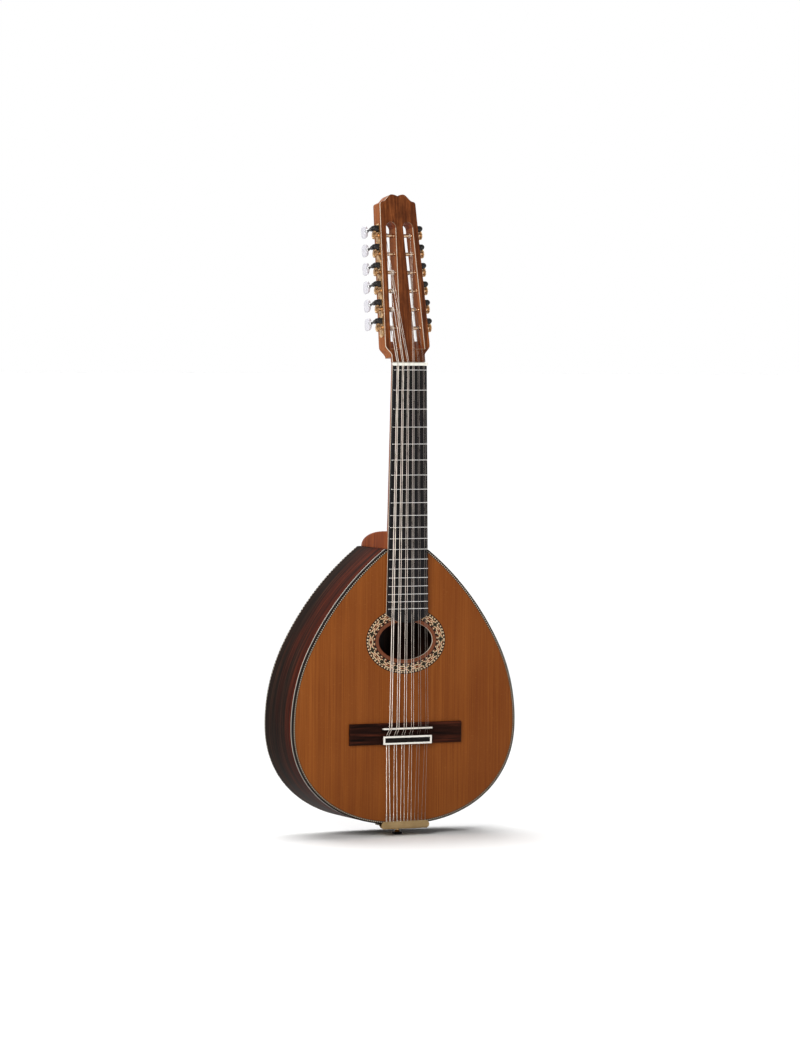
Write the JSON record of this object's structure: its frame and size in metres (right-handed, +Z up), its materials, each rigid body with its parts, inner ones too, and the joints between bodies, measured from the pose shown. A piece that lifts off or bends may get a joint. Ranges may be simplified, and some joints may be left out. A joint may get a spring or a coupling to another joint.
{
  "type": "laud",
  "caption": "Spanish laud: flat-backed pear-shaped lute with paired steel strings, oval soundhole, slotted head, geared tuning machines, brass tailpiece and end pin.",
  "frame": {"origin": "middle of the neck's throat just below the head's shoulders, where a hanger's or stand's yoke holds the instrument", "axes": "+Z up the neck towards the head; -Y the way the soundboard faces; +X to the right seen from the front, the thinnest strings' side"},
  "size_m": [0.351, 0.1075, 0.9056],
  "materials": {
    "cedar": "gloss-lacquered orange-brown cedar, straight grain",
    "rosewood": "gloss-lacquered dark rosewood with reddish streaks",
    "dark_rosewood": "satin dark rosewood",
    "rosewood_veneer": "satin reddish-brown rosewood",
    "light_veneer": "pale maple line",
    "mahogany": "satin mahogany with open pores",
    "ebony": "oiled ebony",
    "binding": "dark wood binding with pale lines",
    "mosaic": "end-grain wood mosaic",
    "bone": "polished bone",
    "pearl": "pearl button on a dark steel shaft",
    "brass": "gold-tinted polished brass",
    "tailpiece_brass": "satin brushed brass",
    "steel_string": "plain steel wire",
    "bronze_string": "steel core wound with bronze wire"
  },
  "bodies": {
    "instrument": {"back": "rosewood", "back_binding": "binding", "back_lining": "cedar", "bridge": "dark_rosewood", "end_pin": "ebony", "fingerboard": "ebony", "front_binding": "binding", "front_lining": "cedar", "head_face": "rosewood_veneer", "head_veneer": "light_veneer", "neck": "mahogany", "neck_block": "mahogany", "nut": "bone", "rosette": "mosaic", "saddle": "bone", "side_left": "rosewood", "side_right": "rosewood", "soundboard": "cedar", "tail_block": "mahogany", "tailpiece": "tailpiece_brass", "tie_block_frame": "bone", "top_brace": "cedar", "tuner_plate_left": "brass", "tuner_plate_right": "brass", "string_01": "bronze_string", "string_02": "bronze_string", "string_03": "bronze_string", "string_04": "bronze_string", "string_05": "bronze_string", "string_06": "bronze_string", "string_07": "steel_string", "string_08": "steel_string", "string_09": "steel_string", "string_10": "steel_string", "string_11": "steel_string", "string_12": "steel_string"},
    "button_left_1": {"button_left_1": "pearl"},
    "roller_left_1": {"roller_left_1": "brass"},
    "button_left_2": {"button_left_2": "pearl"},
    "roller_left_2": {"roller_left_2": "brass"},
    "button_left_3": {"button_left_3": "pearl"},
    "roller_left_3": {"roller_left_3": "brass"},
    "button_left_4": {"button_left_4": "pearl"},
    "roller_left_4": {"roller_left_4": "brass"},
    "button_left_5": {"button_left_5": "pearl"},
    "roller_left_5": {"roller_left_5": "brass"},
    "button_left_6": {"button_left_6": "pearl"},
    "roller_left_6": {"roller_left_6": "brass"},
    "button_right_1": {"button_right_1": "pearl"},
    "roller_right_1": {"roller_right_1": "brass"},
    "button_right_2": {"button_right_2": "pearl"},
    "roller_right_2": {"roller_right_2": "brass"},
    "button_right_3": {"button_right_3": "pearl"},
    "roller_right_3": {"roller_right_3": "brass"},
    "button_right_4": {"button_right_4": "pearl"},
    "roller_right_4": {"roller_right_4": "brass"},
    "button_right_5": {"button_right_5": "pearl"},
    "roller_right_5": {"roller_right_5": "brass"},
    "button_right_6": {"button_right_6": "pearl"},
    "roller_right_6": {"roller_right_6": "brass"}
  },
  "joints": [
    {"name": "button_left_1_turn", "type": "hinge", "parent": "instrument", "child": "button_left_1", "pos_m": [-0.04049, 0.01046, 0.04792], "axis": [0, 0.9839, -0.1788], "continuous": true},
    {"name": "roller_left_1_turn", "type": "hinge", "parent": "instrument", "child": "roller_left_1", "pos_m": [-0.0336, 0.00876, 0.03854], "axis": [0.9995, -0.0059, -0.0326], "continuous": true},
    {"name": "button_left_2_turn", "type": "hinge", "parent": "instrument", "child": "button_left_2", "pos_m": [-0.03961, 0.0152, 0.07398], "axis": [0, 0.9839, -0.1788], "continuous": true},
    {"name": "roller_left_2_turn", "type": "hinge", "parent": "instrument", "child": "roller_left_2", "pos_m": [-0.03272, 0.01349, 0.0646], "axis": [0.9995, -0.0059, -0.0326], "continuous": true},
    {"name": "button_left_3_turn", "type": "hinge", "parent": "instrument", "child": "button_left_3", "pos_m": [-0.03873, 0.01993, 0.10004], "axis": [0, 0.9839, -0.1788], "continuous": true},
    {"name": "roller_left_3_turn", "type": "hinge", "parent": "instrument", "child": "roller_left_3", "pos_m": [-0.03185, 0.01823, 0.09066], "axis": [0.9995, -0.0059, -0.0326], "continuous": true},
    {"name": "button_left_4_turn", "type": "hinge", "parent": "instrument", "child": "button_left_4", "pos_m": [-0.03786, 0.02467, 0.1261], "axis": [0, 0.9839, -0.1788], "continuous": true},
    {"name": "roller_left_4_turn", "type": "hinge", "parent": "instrument", "child": "roller_left_4", "pos_m": [-0.03097, 0.02296, 0.11672], "axis": [0.9995, -0.0059, -0.0326], "continuous": true},
    {"name": "button_left_5_turn", "type": "hinge", "parent": "instrument", "child": "button_left_5", "pos_m": [-0.03698, 0.0294, 0.15215], "axis": [0, 0.9839, -0.1788], "continuous": true},
    {"name": "roller_left_5_turn", "type": "hinge", "parent": "instrument", "child": "roller_left_5", "pos_m": [-0.03009, 0.0277, 0.14277], "axis": [0.9995, -0.0059, -0.0326], "continuous": true},
    {"name": "button_left_6_turn", "type": "hinge", "parent": "instrument", "child": "button_left_6", "pos_m": [-0.0361, 0.03414, 0.17821], "axis": [0, 0.9839, -0.1788], "continuous": true},
    {"name": "roller_left_6_turn", "type": "hinge", "parent": "instrument", "child": "roller_left_6", "pos_m": [-0.02921, 0.03243, 0.16883], "axis": [0.9995, -0.0059, -0.0326], "continuous": true},
    {"name": "button_right_1_turn", "type": "hinge", "parent": "instrument", "child": "button_right_1", "pos_m": [0.04049, 0.01046, 0.04792], "axis": [0, 0.9839, -0.1788], "continuous": true},
    {"name": "roller_right_1_turn", "type": "hinge", "parent": "instrument", "child": "roller_right_1", "pos_m": [0.0336, 0.00876, 0.03854], "axis": [0.9995, 0.0059, 0.0326], "continuous": true},
    {"name": "button_right_2_turn", "type": "hinge", "parent": "instrument", "child": "button_right_2", "pos_m": [0.03961, 0.0152, 0.07398], "axis": [0, 0.9839, -0.1788], "continuous": true},
    {"name": "roller_right_2_turn", "type": "hinge", "parent": "instrument", "child": "roller_right_2", "pos_m": [0.03272, 0.01349, 0.0646], "axis": [0.9995, 0.0059, 0.0326], "continuous": true},
    {"name": "button_right_3_turn", "type": "hinge", "parent": "instrument", "child": "button_right_3", "pos_m": [0.03873, 0.01993, 0.10004], "axis": [0, 0.9839, -0.1788], "continuous": true},
    {"name": "roller_right_3_turn", "type": "hinge", "parent": "instrument", "child": "roller_right_3", "pos_m": [0.03185, 0.01823, 0.09066], "axis": [0.9995, 0.0059, 0.0326], "continuous": true},
    {"name": "button_right_4_turn", "type": "hinge", "parent": "instrument", "child": "button_right_4", "pos_m": [0.03786, 0.02467, 0.1261], "axis": [0, 0.9839, -0.1788], "continuous": true},
    {"name": "roller_right_4_turn", "type": "hinge", "parent": "instrument", "child": "roller_right_4", "pos_m": [0.03097, 0.02296, 0.11672], "axis": [0.9995, 0.0059, 0.0326], "continuous": true},
    {"name": "button_right_5_turn", "type": "hinge", "parent": "instrument", "child": "button_right_5", "pos_m": [0.03698, 0.0294, 0.15215], "axis": [0, 0.9839, -0.1788], "continuous": true},
    {"name": "roller_right_5_turn", "type": "hinge", "parent": "instrument", "child": "roller_right_5", "pos_m": [0.03009, 0.0277, 0.14277], "axis": [0.9995, 0.0059, 0.0326], "continuous": true},
    {"name": "button_right_6_turn", "type": "hinge", "parent": "instrument", "child": "button_right_6", "pos_m": [0.0361, 0.03414, 0.17821], "axis": [0, 0.9839, -0.1788], "continuous": true},
    {"name": "roller_right_6_turn", "type": "hinge", "parent": "instrument", "child": "roller_right_6", "pos_m": [0.02921, 0.03243, 0.16883], "axis": [0.9995, 0.0059, 0.0326], "continuous": true}
  ],
  "couplings": [
    {"joint": "roller_left_1_turn", "follows": "button_left_1_turn", "ratio": -0.066667},
    {"joint": "roller_left_2_turn", "follows": "button_left_2_turn", "ratio": -0.066667},
    {"joint": "roller_left_3_turn", "follows": "button_left_3_turn", "ratio": -0.066667},
    {"joint": "roller_left_4_turn", "follows": "button_left_4_turn", "ratio": -0.066667},
    {"joint": "roller_left_5_turn", "follows": "button_left_5_turn", "ratio": -0.066667},
    {"joint": "roller_left_6_turn", "follows": "button_left_6_turn", "ratio": -0.066667},
    {"joint": "roller_right_1_turn", "follows": "button_right_1_turn", "ratio": 0.066667},
    {"joint": "roller_right_2_turn", "follows": "button_right_2_turn", "ratio": 0.066667},
    {"joint": "roller_right_3_turn", "follows": "button_right_3_turn", "ratio": 0.066667},
    {"joint": "roller_right_4_turn", "follows": "button_right_4_turn", "ratio": 0.066667},
    {"joint": "roller_right_5_turn", "follows": "button_right_5_turn", "ratio": 0.066667},
    {"joint": "roller_right_6_turn", "follows": "button_right_6_turn", "ratio": 0.066667}
  ]
}
